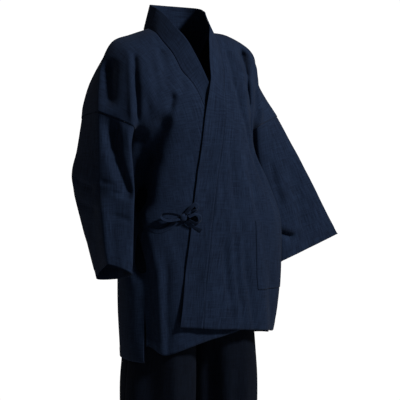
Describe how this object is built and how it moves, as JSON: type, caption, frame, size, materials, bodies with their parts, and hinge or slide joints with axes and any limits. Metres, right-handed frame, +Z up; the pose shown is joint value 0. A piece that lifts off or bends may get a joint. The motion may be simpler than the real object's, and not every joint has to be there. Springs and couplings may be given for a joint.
{
  "type": "samue",
  "caption": "Samue worn with its front tied: wrapped kimono-cut work jacket with a long collar band, wide sleeves, ties and a patch pocket, over straight trousers",
  "frame": {"origin": "on the neck's centre line, level with the points where the collar meets the shoulders", "axes": "+Z up along the body, the front faces -Y, +X is the wearer's left"},
  "size_m": [0.7464, 0.2706, 1.457],
  "materials": {
    "jacket_cloth": "matt slub cotton",
    "band_cloth": "matt slub cotton, double",
    "tie_cloth": "matt slub cotton, folded strip",
    "trouser_cloth": "matt slub cotton"
  },
  "bodies": {
    "root": {"body_right": "jacket_cloth", "body_left": "jacket_cloth", "sleeve_right": "jacket_cloth", "sleeve_left": "jacket_cloth", "collar_band": "band_cloth", "pocket_left": "jacket_cloth", "tie_side": "tie_cloth", "tie_outer": "tie_cloth", "bow_loop_right": "tie_cloth", "bow_loop_upper": "tie_cloth", "bow_loop_left": "tie_cloth", "bow_tail": "tie_cloth", "tie_under": "tie_cloth", "bow_knot": "tie_cloth", "trouser_front_right": "trouser_cloth", "trouser_front_left": "trouser_cloth", "trouser_back_right": "trouser_cloth", "trouser_back_left": "trouser_cloth", "waistband": "trouser_cloth"}
  },
  "joints": []
}
